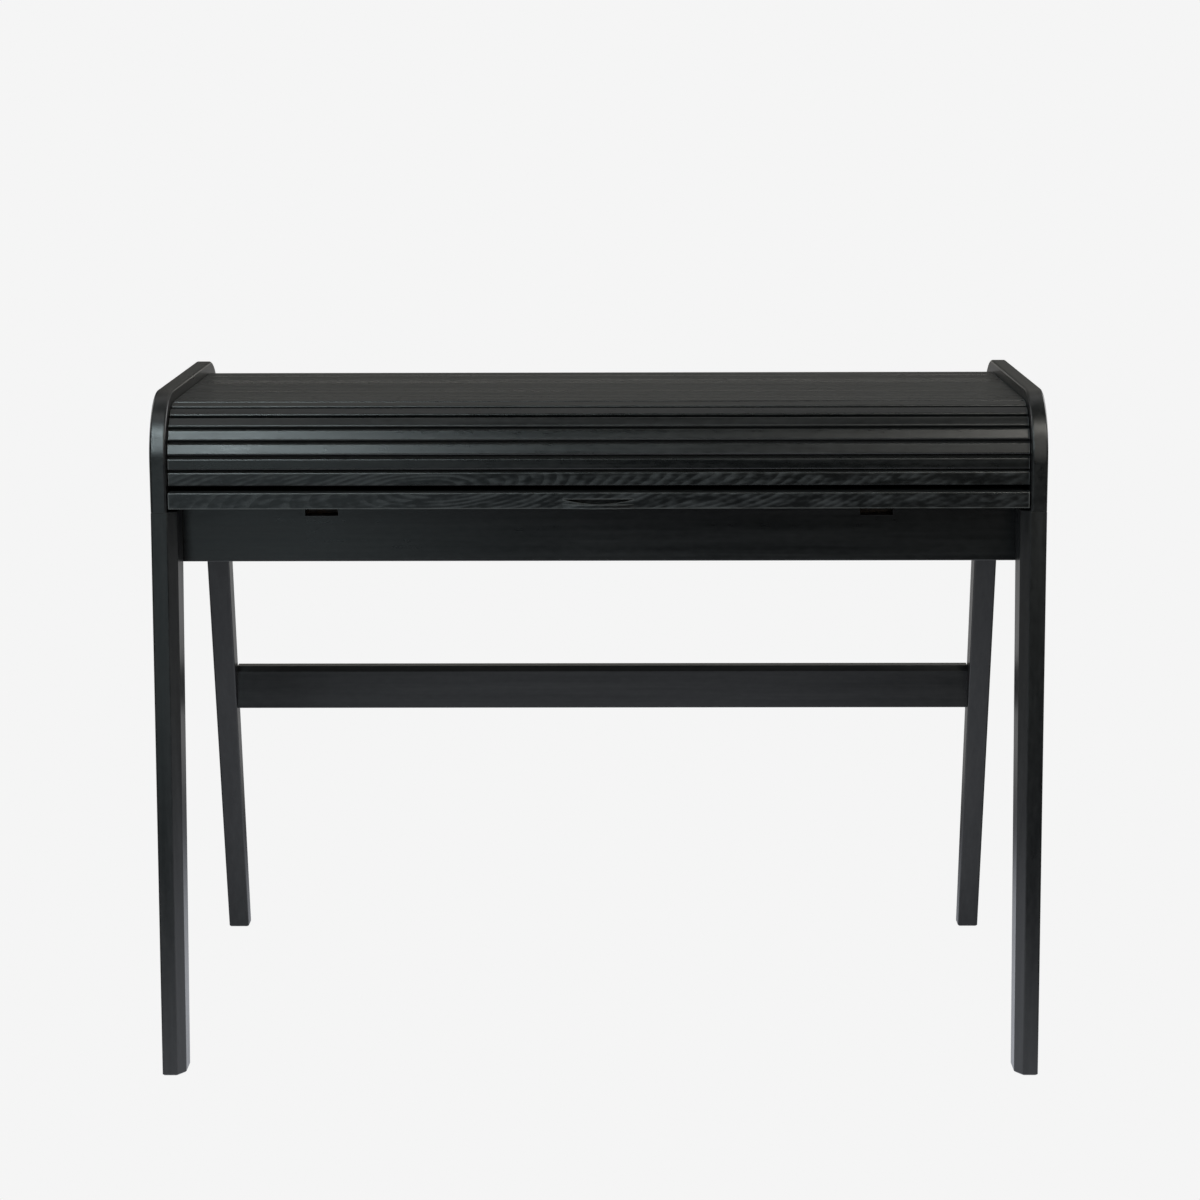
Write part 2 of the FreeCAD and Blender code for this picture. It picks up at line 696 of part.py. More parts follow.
def build_runners(guide_back):
    """Two bars under the top that slide in guides on the base board."""
    width, spread = size("runner_width"), RUNNER_SPREAD
    gap = size("slide_gap")
    low = TOP_LOWER - size("runner_height")
    base_top = BASE_UPPER
    wall = size("guide_wall")
    runner_front = APRON_FACE + size("runner_setback")
    runner_back = guide_back - gap
    guide_front = APRON_BACK + size("joint_gap")
    groove_half = width / 2 + gap
    outline_left = -spread
    for side, name in ((-1, "left"), (1, "right")):
        board(
            f"runner_{name}",
            (side * spread - width / 2, runner_front, low),
            (side * spread + width / 2, runner_back, TOP_LOWER),
            Length="{runner_width}",
            Height="{runner_height}",
        )
    body = new_body("runner_guide_left_body")
    channel = polygon([
        (outline_left - groove_half - wall, base_top),
        (outline_left + groove_half + wall, base_top),
        (outline_left + groove_half + wall, TOP_LOWER - gap),
        (outline_left + groove_half, TOP_LOWER - gap),
        (outline_left + groove_half, low - gap),
        (outline_left - groove_half, low - gap),
        (outline_left - groove_half, TOP_LOWER - gap),
        (outline_left - groove_half - wall, TOP_LOWER - gap),
    ])
    sketch = add_sketch(body, "channel_section", "XZ_Plane", channel)
    pad(body, "channel", sketch, str(guide_back - guide_front))
    body.Placement = Placement(Vector(0, guide_back, 0), Rotation())
    keep(body, "runner_guide_left")
    mirrored(body, "runner_guide_right")


# roll front


def slat_places():
    """Start point and tilt of each slat's cell along the path; tilt 0 stands, 90 lies."""
    tilts = (
        [0.0] * FRONT_UPRIGHT_SLATS
        + [ARC_STEP * j for j in range(1, ARC_STEPS)]
        + [90.0] * TOP_SLATS
        + [90.0 + ARC_STEP * j for j in range(1, ARC_STEPS)]
    )
    y, z = ROLL_FRONT, UPRIGHT_BOTTOM
    places = []
    for tilt in tilts:
        places.append((y, z, tilt))
        y += PITCH * math.sin(math.radians(tilt))
        z += PITCH * math.cos(math.radians(tilt))
    return places


def build_slat(label, place, is_rail=False):
    """One slat, rounded along its face; the pull rail is taller at its lower edge."""
    y, z, tilt = place
    height = "{slat_pitch} - {slat_space}"
    blank = doc.addObject("Part::Box", f"{label}_blank")
    bind(
        blank,
        Length="{desk_width} - 2 * {panel_thickness} - 2 * {slat_end_gap}",
        Width=f"{height} + {{rail_extra}}" if is_rail else height,
        Height="{slat_thick}",
    )
    turn = Rotation(Vector(1, 0, 0), 90.0 - tilt)
    start = size("slat_space") / 2 - (size("rail_extra") if is_rail else 0)
    corner = turn.multVec(Vector(-PANEL_INNER + size("slat_end_gap"), start, 0))
    blank.Placement = Placement(corner + Vector(0, y, z), turn)
    doc.recompute()
    face_height = size("slat_thick") - NEAR
    normal = turn.multVec(Vector(0, 0, 1))
    rounded = doc.addObject("Part::Fillet", f"{label}_rounded")
    rounded.Base = blank
    radius = size("slat_round")
    edges = []
    for number, edge in enumerate(blank.Shape.Edges, 1):
        middle = edge.CenterOfMass - blank.Placement.Base
        if edge.Length > PANEL_INNER and middle.dot(normal) > face_height:
            edges.append((number, radius, radius))
    rounded.Edges = edges
    return keep(rounded, label)


def build_roll_front():
    """Every slat in its closed place, the pull rail first, and the cloth behind them."""
    for number, place in enumerate(slat_places(), 1):
        is_rail = number == 1
        build_slat("pull_rail" if is_rail else f"slat_{number:02d}", place, is_rail)
    body = new_body("tambour_cloth_body")
    outer = -size("cloth_gap")
    tail = ROLL_TOP - ARC_RADIUS - size("cloth_hem")
    band = roll_band(outer - size("cloth_thick"), outer, UPRIGHT_BOTTOM, tail)
    sheet_sketch = add_sketch(body, "cloth_section", "YZ_Plane", band)
    cloth = pad(
        body,
        "cloth_sheet",
        sheet_sketch,
        "{desk_width} - 2 * {panel_thickness} + 2 * ({track_depth} - {cloth_edge_gap})",
    )
    cloth.Midplane = True
    keep(body, "tambour_cloth")


# case


def build_back_board():
    """A stepped board: full width between the panels, narrower between the legs."""
    body = new_body("back_board_body")
    wide = PANEL_INNER - size("joint_gap")
    narrow = LEG_INNER - size("joint_gap")
    high = SEAM + size("back_rise")
    outline = polygon([
        (-narrow, BACK_LOWER),
        (narrow, BACK_LOWER),
        (narrow, SEAM),
        (wide, SEAM),
        (wide, high),
        (-wide, high),
        (-wide, SEAM),
        (-narrow, SEAM),
    ])
    pad(body, "back", add_sketch(body, "back_outline", "XZ_Plane", outline), "{back_thick}")
    body.Placement = Placement(Vector(0, BACK_FACE, 0), Rotation())
    keep(body, "back_board")


def build_pigeonholes():
    """Floor, top, inner back and dividers of the pigeonholes at the back of the case."""
    half = PANEL_INNER - size("joint_gap")
    thick = size("shelf_thick")
    back = ROLL_BACK - size("inner_back_gap") - size("inner_back_thick")
    front = back - size("shelf_depth")
    low = TOP_UPPER + size("shelf_float")
    high = size("desk_height") - size("shelf_drop")
    fit = size("joint_gap")
    board(
        "inner_back",
        (-half, back, low),
        (half, back + size("inner_back_thick"), high),
        Width="{inner_back_thick}",
    )
    board(
        "pigeonhole_floor", (-half, front, low), (half, back - fit, low + thick), Height="{shelf_thick}"
    )
    board(
        "pigeonhole_top", (-half, front, high - thick), (half, back - fit, high), Height="{shelf_thick}"
    )
    bay = 2 * half / BAY_COUNT
    for number in range(1, BAY_COUNT):
        middle = -half + number * bay
        board(
            f"divider_{number}",
            (middle - thick / 2, front + thick, low + thick + fit),
            (middle + thick / 2, back - fit, high - thick - fit),
            Length="{shelf_thick}",
        )


def check_and_write():
    """Stop on any failed object or bad solid, then write each node to its own file."""
    doc.recompute()
    for item in doc.Objects:
        if {"Invalid", "Error"} & set(item.State):
            raise RuntimeError(f"{item.Name} failed: {item.State}")
    for item in nodes:
        if item.Shape.isNull() or not item.Shape.isValid():
            raise RuntimeError(f"{item.Label} has no valid shape")
    os.makedirs("parts", exist_ok=True)
    for item in nodes:
        item.Shape.exportStep(f"parts/{item.Label}.step")


dowel_bores = build_dowels()
build_side_panels(dowel_bores)
build_legs(dowel_bores)
build_foot_glides()
build_front_apron()
build_side_rails()
build_stretcher()
build_runners(build_base())
build_pull_out_top()
build_top_stops()
build_roll_front()
build_back_board()
build_pigeonholes()
check_and_write()
print(len(nodes), "nodes written")
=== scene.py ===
"""Tambour desk in black-stained ash: finishes, backing cloth, floor, light and camera.

Metres, +Z up, the desk's front towards -Y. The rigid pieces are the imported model's own solids.
"""
import json
import math

import bmesh
import bpy
from mathutils import Matrix, Vector

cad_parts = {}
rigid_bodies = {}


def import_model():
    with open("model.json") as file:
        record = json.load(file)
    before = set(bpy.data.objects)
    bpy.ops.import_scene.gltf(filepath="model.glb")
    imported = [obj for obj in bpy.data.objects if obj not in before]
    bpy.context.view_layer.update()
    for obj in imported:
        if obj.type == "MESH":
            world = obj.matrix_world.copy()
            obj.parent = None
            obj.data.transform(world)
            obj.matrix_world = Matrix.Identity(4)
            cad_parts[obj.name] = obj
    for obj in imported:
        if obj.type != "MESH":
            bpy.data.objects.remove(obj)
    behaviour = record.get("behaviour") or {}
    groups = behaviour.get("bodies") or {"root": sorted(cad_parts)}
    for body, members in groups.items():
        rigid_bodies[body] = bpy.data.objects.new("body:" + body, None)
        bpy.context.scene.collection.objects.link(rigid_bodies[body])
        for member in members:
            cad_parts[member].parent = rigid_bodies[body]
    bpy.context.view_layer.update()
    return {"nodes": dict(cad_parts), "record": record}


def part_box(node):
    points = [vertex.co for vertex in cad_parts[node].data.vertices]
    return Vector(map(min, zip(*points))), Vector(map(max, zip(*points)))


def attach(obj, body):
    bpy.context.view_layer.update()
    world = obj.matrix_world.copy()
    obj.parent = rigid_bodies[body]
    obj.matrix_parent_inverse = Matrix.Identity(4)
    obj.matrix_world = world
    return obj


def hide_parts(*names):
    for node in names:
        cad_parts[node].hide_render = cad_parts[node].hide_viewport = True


ORIGIN = (0.0, 0.0, 0.0)


# ---------------------------------------------------------------- shader helpers

# Sockets of a Mix node: its two inputs and its output, for colours and for vectors.
MIXED_COLOURS = (6, 7, 2)
MIXED_VECTORS = (4, 5, 1)


def add(tree, kind, inputs=None, **settings):
    """Adds a node, sets its properties and feeds its inputs with values or other nodes' sockets."""
    made = tree.nodes.new(kind)
    for key, value in settings.items():
        setattr(made, key, value)
    for key, value in (inputs or {}).items():
        if isinstance(value, bpy.types.NodeSocket):
            tree.links.new(value, made.inputs[key])
        else:
            made.inputs[key].default_value = value
    return made


def maths(tree, operation, first, second=0.0, third=0.0, clamp=False):
    inputs = {0: first, 1: second, 2: third}
    return add(tree, "ShaderNodeMath", inputs, operation=operation, use_clamp=clamp).outputs[0]


def weigh(tree, start, shares, clamp=False):
    """Adds masks to a value, each times its share; a clamped sum stays between 0 and 1."""
    total = start
    for number, (mask, share) in enumerate(shares, 1):
        total = maths(tree, "MULTIPLY_ADD", mask, share, total, clamp=clamp and number == len(shares))
    return total


def vectors(tree, operation, first, second=ORIGIN):
    return add(tree, "ShaderNodeVectorMath", {0: first, 1: second}, operation=operation).outputs[0]


def length_of(tree, vector):
    return add(tree, "ShaderNodeVectorMath", {0: vector}, operation="LENGTH").outputs["Value"]


def axes_of(tree, vector):
    return add(tree, "ShaderNodeSeparateXYZ", {"Vector": vector}).outputs


def blend(tree, factor, first, second, kind="RGBA", sockets=MIXED_COLOURS):
    """The first where the factor is 0, the second where it is 1."""
    inputs = {"Factor": factor, sockets[0]: first, sockets[1]: second}
    return add(tree, "ShaderNodeMix", inputs, data_type=kind).outputs[sockets[2]]


def remap(tree, value, low, high, to_low, to_high):
    inputs = {"Value": value, "From Min": low, "From Max": high, "To Min": to_low, "To Max": to_high}
    return add(tree, "ShaderNodeMapRange", inputs, interpolation_type="SMOOTHSTEP").outputs[0]


def stretched(tree, point, scale):
    return add(tree, "ShaderNodeMapping", {"Vector": point, "Scale": scale}).outputs[0]


def noise(tree, point, detail, scale=1.0):
    inputs = {"Vector": point, "Scale": scale, "Detail": detail}
    return add(tree, "ShaderNodeTexNoise", inputs).outputs[0]


def spots(tree, point, scale=1.0):
    """Distance to the middle of the nearest of many scattered spots."""
    return add(tree, "ShaderNodeTexVoronoi", {"Vector": point, "Scale": scale}).outputs["Distance"]


def bumped(tree, height, distance, strength=1.0):
    inputs = {"Strength": strength, "Distance": distance, "Height": height}
    return add(tree, "ShaderNodeBump", inputs).outputs[0]


def new_group(name, inputs, outputs):
    """A node group with named sockets; returns the tree, its input sockets and its output node."""
    tree = bpy.data.node_groups.new(name, "ShaderNodeTree")
    for label, kind, default in inputs:
        made = tree.interface.new_socket(label, in_out="INPUT", socket_type=kind)
        if default is not None:
            made.default_value = default
    for label, kind in outputs:
        tree.interface.new_socket(label, in_out="OUTPUT", socket_type=kind)
    return tree, tree.nodes.new("NodeGroupInput").outputs, tree.nodes.new("NodeGroupOutput").inputs


def place(tree, group, inputs):
    return add(tree, "ShaderNodeGroup", inputs, node_tree=group).outputs


def new_material(name):
    material = bpy.data.materials.new(name)
    material.use_nodes = True
    material.node_tree.nodes.clear()
    return material, material.node_tree


def finish_material(tree, shader):
    out = add(tree, "ShaderNodeOutputMaterial")
    tree.links.new(shader.outputs[0], out.inputs["Surface"])


# ---------------------------------------------------------------- ash grain

# The log's heart wanders: how fast across the grain, and how far at a swirl of 1.
WANDER_PACE = 5.0
WANDER_REACH = 0.075
LOG_TAPER = 0.012

# A ring starts sharply with its open early wood, which fades into dense late wood: shares of its width.
EARLY_FULL_FROM = 0.10
EARLY_FADES_FROM = 0.22
EARLY_ENDS = 0.75

# Rings show fully this near the heart, and at their faintest from this far on.
RINGS_CLEAR_TO = 0.05
RINGS_FAINT_FROM = 0.16
FAINTEST_RINGS = 0.35

# Spots and waves per metre along, across and through the grain.
VESSELS = (85.0, 2100.0, 2100.0)
STRANDS = (9.0, 420.0, 420.0)
BRUSHED_GROOVES = (30.0, 4200.0, 4200.0)
MOTTLES = (75.0, 190.0, 190.0)
STREAKS = (3.0, 110.0, 110.0)
SMUDGES = (11.0, 11.0, 11.0)

# How wide a vessel opens in late wood, how much wider in early wood, and how crisp its rim is.
VESSEL_OPENING = 0.10
EARLY_OPENING = 0.34
VESSEL_CRISPNESS = 6.0

# Height of the surface: what each mark adds to it.
EARLY_HEIGHT = -0.06
PORE_HEIGHT = -0.14
FIBRE_HEIGHT = 0.22
GROOVE_HEIGHT = 0.14


def heart_distance(tree, given, axes):
    """Distance from the log's wandering heart."""
    pace = add(tree, "ShaderNodeCombineXYZ", {0: given["Swirl"], 1: WANDER_PACE, 2: WANDER_PACE}).outputs[0]
    slow = vectors(tree, "MULTIPLY", given["Vector"], pace)
    wander = add(tree, "ShaderNodeTexNoise", {"Vector": slow, "Scale": 1.0, "Detail": 2.0})
    drift = add(tree, "ShaderNodeSeparateColor", {"Color": wander.outputs["Color"]}).outputs
    reach = maths(tree, "DIVIDE", WANDER_REACH, given["Swirl"])
    across = maths(tree, "MULTIPLY_ADD", drift[0], reach, axes[1])
    depth = maths(tree, "MULTIPLY_ADD", drift[1], reach, axes[2])
    depth = maths(tree, "ADD", depth, given["Heart Depth"])
    squares = [maths(tree, "POWER", side, 2.0) for side in (across, depth)]
    return maths(tree, "SQRT", maths(tree, "ADD", *squares))


def early_wood(tree, given, axes):
    """Mask of the open wood that each ring starts with, fainter far from the heart."""
    distance = heart_distance(tree, given, axes)
    tapered = maths(tree, "MULTIPLY_ADD", axes[0], LOG_TAPER, distance)
    ring = maths(tree, "FRACT", maths(tree, "DIVIDE", tapered, given["Ring Width"]))
    rise = remap(tree, ring, 0.0, EARLY_FULL_FROM, 0.0, 1.0)
    fall = remap(tree, ring, EARLY_FADES_FROM, EARLY_ENDS, 1.0, 0.0)
    fading = remap(tree, distance, RINGS_CLEAR_TO, RINGS_FAINT_FROM, 1.0, FAINTEST_RINGS)
    return maths(tree, "MULTIPLY", maths(tree, "MULTIPLY", rise, fall), fading)


def open_pores(tree, point, early):
    """Mask of the long vessels that are cut open, wider in the early wood."""
    middle = spots(tree, stretched(tree, point, VESSELS))
    opening = maths(tree, "MULTIPLY_ADD", early, EARLY_OPENING, VESSEL_OPENING)
    return maths(tree, "MULTIPLY", maths(tree, "SUBTRACT", opening, middle), VESSEL_CRISPNESS, clamp=True)


def ash_grain_group():
    """Ring-porous timber in the solid: growth rings about a wandering heart, rows of open pores."""
    tree, given, put = new_group(
        "ash grain",
        [("Vector", "NodeSocketVector", None), ("Ring Width", "NodeSocketFloat", 0.004),
         ("Heart Depth", "NodeSocketFloat", 0.09), ("Swirl", "NodeSocketFloat", 1.1)],
        [("Early Wood", "NodeSocketFloat"), ("Pores", "NodeSocketFloat"),
         ("Fibre", "NodeSocketFloat"), ("Height", "NodeSocketFloat")],
    )
    point = given["Vector"]
    early = early_wood(tree, given, axes_of(tree, point))
    pores = open_pores(tree, point, early)
    fibre = noise(tree, stretched(tree, point, STRANDS), detail=3.0)
    groove = noise(tree, stretched(tree, point, BRUSHED_GROOVES), detail=1.0)
    height = weigh(tree, 1.0, ((early, EARLY_HEIGHT), (pores, PORE_HEIGHT),
                               (fibre, FIBRE_HEIGHT), (groove, GROOVE_HEIGHT)))
    for label, value in (("Early Wood", early), ("Pores", pores), ("Fibre", fibre), ("Height", height)):
        tree.links.new(value, put[label])
    return tree


# ---------------------------------------------------------------- other shared effects

# Edge wear and painted edge highlight: the solid share of a point's surroundings at which the mark starts
# and is full, and its patches per metre, with the range of their noise over which the mark grows from its
# least.
WEAR_AND_HIGHLIGHT_STARTS = 0.94
WEAR_AND_HIGHLIGHT_FULL = 0.66
WEAR_AND_HIGHLIGHT_SAMPLES = 8
WEAR_AND_HIGHLIGHT_RADIUS = 0.0022
WEAR_AND_HIGHLIGHT_PATCHES = 38.0
WEAR_AND_HIGHLIGHT_PATCH_RANGE = (0.35, 0.65)
LEAST_WEAR_AND_HIGHLIGHT = 0.60

# Dust: how far up a face looks where it starts to lie, and the wiped patches, as above.
DUST_LIES_FROM = 0.5
DUST_PATCHES = 7.0
DUST_PATCH_RANGE = (0.35, 0.70)
LEAST_DUST = 0.3

# Weave: what a crossing of threads and the fuzz add to the height, and a crossing to the tone.
CROSSING_HEIGHT = 0.5
CROSSING_TONE = 0.3
FUZZ = 900.0
FUZZ_HEIGHT = 0.4


def edge_wear_and_highlight_group():
    """Mask of the outer edges, where the timber is thin behind the surface, uneven as hands rub it; it
    carries rubbed wear and a painted highlight along the edges.
    """
    tree, given, put = new_group(
        "edge wear and painted highlight",
        [("Vector", "NodeSocketVector", None), ("Radius", "NodeSocketFloat", 0.002)],
        [("Mask", "NodeSocketFloat")],
    )
    # Convex edges found here get both rubbed wear and a painted highlight.
    within = add(tree, "ShaderNodeAmbientOcclusion", {"Distance": given["Radius"]},
                 samples=WEAR_AND_HIGHLIGHT_SAMPLES, inside=True)
    edge = remap(tree, within.outputs["AO"], WEAR_AND_HIGHLIGHT_STARTS, WEAR_AND_HIGHLIGHT_FULL, 0.0, 1.0)
    patch = noise(tree, given["Vector"], detail=4.0, scale=WEAR_AND_HIGHLIGHT_PATCHES)
    patchy_wear_and_highlight = remap(tree, patch, *WEAR_AND_HIGHLIGHT_PATCH_RANGE, LEAST_WEAR_AND_HIGHLIGHT, 1.0)
    tree.links.new(maths(tree, "MULTIPLY", edge, patchy_wear_and_highlight, clamp=True), put["Mask"])
    return tree


def dust_group():
    """A thin film on what faces up, thinner where it has been wiped."""
    tree, given, put = new_group(
        "dust",
        [("Vector", "NodeSocketVector", None), ("Amount", "NodeSocketFloat", 0.3)],
        [("Mask", "NodeSocketFloat")],
    )
    upward = axes_of(tree, add(tree, "ShaderNodeNewGeometry").outputs["Normal"])[2]
    lying = remap(tree, upward, DUST_LIES_FROM, 1.0, 0.0, 1.0)
    patch = noise(tree, given["Vector"], detail=5.0, scale=DUST_PATCHES)
    film = maths(tree, "MULTIPLY", lying, remap(tree, patch, *DUST_PATCH_RANGE, LEAST_DUST, 1.0))
    tree.links.new(maths(tree, "MULTIPLY", film, given["Amount"], clamp=True), put["Mask"])
    return tree


def weave_group():
    """Plain weave: two sets of threads that pass over and under each other."""
    tree, given, put = new_group(
        "plain weave",
        [("Vector", "NodeSocketVector", None), ("Thread", "NodeSocketFloat", 0.0006)],
        [("Height", "NodeSocketFloat"), ("Tone", "NodeSocketFloat")],
    )
    count = maths(tree, "DIVIDE", math.pi, given["Thread"])
    axes = axes_of(tree, given["Vector"])
    warp = maths(tree, "SINE", maths(tree, "MULTIPLY", axes[0], count))
    weft = maths(tree, "SINE", maths(tree, "MULTIPLY", maths(tree, "ADD", axes[1], axes[2]), count))
    over = maths(tree, "MULTIPLY", warp, weft)
    fuzz = noise(tree, given["Vector"], detail=3.0, scale=FUZZ)
    height = maths(tree, "ADD", maths(tree, "ABSOLUTE", warp), maths(tree, "ABSOLUTE", weft))
    height = weigh(tree, height, ((over, CROSSING_HEIGHT), (fuzz, FUZZ_HEIGHT)))
    tree.links.new(height, put["Height"])
    tree.links.new(weigh(tree, fuzz, ((over, CROSSING_TONE),), clamp=True), put["Tone"])
    return tree


# ---------------------------------------------------------------- timber

# Grain directions, as the turn that lays a piece's length along the grain's X axis.
ALONG_X = (0.0, 0.0, 0.0)
ALONG_Y = (0.0, 0.0, math.radians(-90))
ALONG_Z = (0.0, math.radians(90), 0.0)
ASLANT_X = (0.0, math.radians(6), math.radians(12))

# The pieces whose grain doesn't run straight along X.
GRAIN_OF = {
    **dict.fromkeys(("desktop_board", "pull_rail"), ASLANT_X),
    **dict.fromkeys(("side_panel_left", "side_panel_right", "side_rail_left", "side_rail_right",
                     "runner_left", "runner_right", "runner_guide_left", "runner_guide_right"), ALONG_Y),
    **dict.fromkeys(("front_leg_left", "front_leg_right", "rear_leg_left", "rear_leg_right",
                     "divider_1", "divider_2", "leg_dowels"), ALONG_Z),
}

# Where the heart of the figured log passes, a little behind the writing top's front edge.
FIGURED_HEART = (-0.33, -0.26, 0.745)

# How far apart in their log the pieces are cut.
WIDE_SPREAD = (5.3, 0.031, 0.023)
SHORT_SPREAD = (0.17, 0.012, 0.012)

# A face whose normal is this near to upright counts as level.
LEVEL_COSINE = 0.7

# Noise and chance run from 0 to 1 about this.
MIDDLE = 0.5

# Rings keep only this share of their contrast in streaks that lie below the middle by the reach,
# and all of it in streaks above the middle by the reach.
STREAK_REACH = 0.12
FAINT_STREAK = 0.25

# How much each mark lightens the wood, from dark (0) to light (1).
FIBRE_TONE = 0.4
MOTTLE_TONE = 0.6
STREAK_TONE = 1.3
CHANCE_TONE = 0.35
CONTRAST_OFFSET = 0.3
PORE_COVER = 0.7
PORE_SHADE = 0.35
DUST_COLOUR = (0.16, 0.15, 0.135, 1.0)

# How much each mark roughens the finish.
SMUDGE_ROUGHNESS = 0.08
MOTTLE_ROUGHNESS = 0.20
STREAK_ROUGHNESS = 0.30
CHANCE_ROUGHNESS = 0.055
EARLY_ROUGHNESS = 0.05
PORE_ROUGHNESS = 0.015
DUST_ROUGHNESS = 0.5


def straight_where_level(tree, turned, straight):
    """Lipped pieces: straight grain on the level faces and turned grain on the edges."""
    facing = add(tree, "ShaderNodeNewGeometry").outputs["True Normal"]
    upward = maths(tree, "ABSOLUTE", axes_of(tree, facing)[2])
    level = maths(tree, "GREATER_THAN", upward, LEVEL_COSINE)
    return blend(tree, level, turned, straight, "VECTOR", MIXED_VECTORS)


def piece_point(tree, turn, spread, heart=ORIGIN):
    """The piece's own coordinates, turned along its grain and moved to its own part of the log."""
    here = add(tree, "ShaderNodeTexCoord").outputs["Object"]
    local = vectors(tree, "SUBTRACT", here, heart)
    turned = add(tree, "ShaderNodeMapping", {"Vector": local, "Rotation": turn}).outputs[0]
    if turn == ASLANT_X:
        turned = straight_where_level(tree, turned, local)
    chance = add(tree, "ShaderNodeObjectInfo").outputs["Random"]
    offset = add(tree, "ShaderNodeVectorMath", {0: spread, "Scale": chance}, operation="SCALE").outputs[0]
    return vectors(tree, "ADD", turned, offset), chance


def timber_marks(tree, shared, point, chance, grain, contrast, dust):
    """Masks of everything that varies the finish over a piece and from piece to piece."""
    mottle, streak, smudge = [
        noise(tree, stretched(tree, point, scale), detail=2.0) for scale in (MOTTLES, STREAKS, SMUDGES)
    ]
    mottle = maths(tree, "SUBTRACT", mottle, MIDDLE)
    streak = maths(tree, "SUBTRACT", streak, MIDDLE)
    shown = remap(tree, streak, -STREAK_REACH, STREAK_REACH, FAINT_STREAK * contrast, contrast)
    return {
        "chance": chance, "mottle": mottle, "streak": streak, "smudge": smudge,
        "early": maths(tree, "MULTIPLY", grain["Early Wood"], shown),
        "pores": grain["Pores"], "fibre": grain["Fibre"],
        # The edge mask: rubbed wear, and a painted highlight along the edges.
        "wear": place(tree, shared["wear"], {"Vector": point, "Radius": WEAR_AND_HIGHLIGHT_RADIUS})["Mask"],
        "dust": place(tree, shared["dust"], {"Vector": point, "Amount": dust})["Mask"],
    }


def timber_colour(tree, marks, dark, light, worn_and_highlit, rubbing_and_highlight, contrast):
    """Dark wood lightened by its figure, with darker pores, paler edges of rubbed wear and painted highlight,
    and dust.
    """
    figure = weigh(tree, maths(tree, "SUBTRACT", marks["early"], CONTRAST_OFFSET * contrast), (
        (marks["fibre"], FIBRE_TONE), (marks["mottle"], MOTTLE_TONE + contrast),
        (marks["streak"], STREAK_TONE), (marks["chance"], CHANCE_TONE)), clamp=True)
    in_pores = tuple(PORE_SHADE * channel for channel in dark[:3]) + (1.0,)
    colour = blend(tree, figure, dark, light)
    colour = blend(tree, maths(tree, "MULTIPLY", marks["pores"], PORE_COVER * contrast), colour, in_pores)
    # Edges painted paler: partly rubbed wear, partly a painted highlight.
    colour = blend(tree, maths(tree, "MULTIPLY", marks["wear"], rubbing_and_highlight), colour, worn_and_highlit)
    return blend(tree, marks["dust"], colour, DUST_COLOUR)


def timber_roughness(tree, marks, gloss, unevenness):
    return weigh(tree, gloss, (
        (marks["smudge"], SMUDGE_ROUGHNESS), (marks["mottle"], MOTTLE_ROUGHNESS * unevenness),
        (marks["streak"], STREAK_ROUGHNESS * unevenness), (marks["chance"], CHANCE_ROUGHNESS),
        (marks["early"], EARLY_ROUGHNESS), (marks["pores"], PORE_ROUGHNESS),
        (marks["dust"], DUST_ROUGHNESS)), clamp=True)


def leaning(tree, point, chance, lean, relief, height):
    """Leans a piece's surface across the grain, each piece by its own share of the lean either way."""
    either_way = maths(tree, "SUBTRACT", chance, MIDDLE)
    slope = maths(tree, "MULTIPLY", either_way, 2.0 * math.tan(lean) / relief)
    return maths(tree, "MULTIPLY_ADD", axes_of(tree, point)[1], slope, height)


def timber(name, turn, shared, dark, light, worn_and_highlit, rubbing_and_highlight, ring_width, heart_depth, swirl, contrast,
           gloss, unevenness, relief, dust, heart=ORIGIN, spread=WIDE_SPREAD, lean=0.0):
    """Stained or oiled ash: growth rings, streaks, mottle, open pores, rubbed edges with a painted highlight
    along them and a little dust.
    """
    material, tree = new_material(name)
    point, chance = piece_point(tree, turn, spread, heart)
    grain = place(tree, shared["grain"], {"Vector": point, "Ring Width": ring_width,
                                          "Heart Depth": heart_depth, "Swirl": swirl})
    marks = timber_marks(tree, shared, point, chance, grain, contrast, dust)
    height = grain["Height"]
    if lean:
        height = leaning(tree, point, chance, lean, relief, height)
    shader = add(tree, "ShaderNodeBsdfPrincipled", {
        "Base Color": timber_colour(tree, marks, dark, light, worn_and_highlit, rubbing_and_highlight, contrast),
        "Roughness": timber_roughness(tree, marks, gloss, unevenness),
        "Normal": bumped(tree, height, relief),
        "IOR": 1.5,
    })
    finish_material(tree, shader)
    return material


def black_ash(name, turn, shared):
    """Flat, nearly even faces of the case."""
    return timber(
        name, turn, shared, dark=(0.0026, 0.0032, 0.0035, 1.0), light=(0.0170, 0.0176, 0.0178, 1.0),
        worn_and_highlit=(0.060, 0.060, 0.058, 1.0), rubbing_and_highlight=0.2, ring_width=0.0042, heart_depth=0.07, swirl=1.1,
        contrast=0.18, gloss=0.235, unevenness=0.28, relief=0.00002, dust=0.03)


def slat_ash(name, turn, shared):
    """Slats, rubbed along their edges and painted lighter there as a highlight, none of them lying quite
    level.
    """
    return timber(
        name, turn, shared, dark=(0.0014, 0.0020, 0.0022, 1.0), light=(0.0180, 0.0186, 0.0188, 1.0),
        worn_and_highlit=(0.090, 0.092, 0.090, 1.0), rubbing_and_highlight=0.8, ring_width=0.0042, heart_depth=0.07, swirl=1.1,
        contrast=0.25, gloss=0.235, unevenness=0.4, relief=0.00002, dust=0.03, lean=math.radians(1.8))


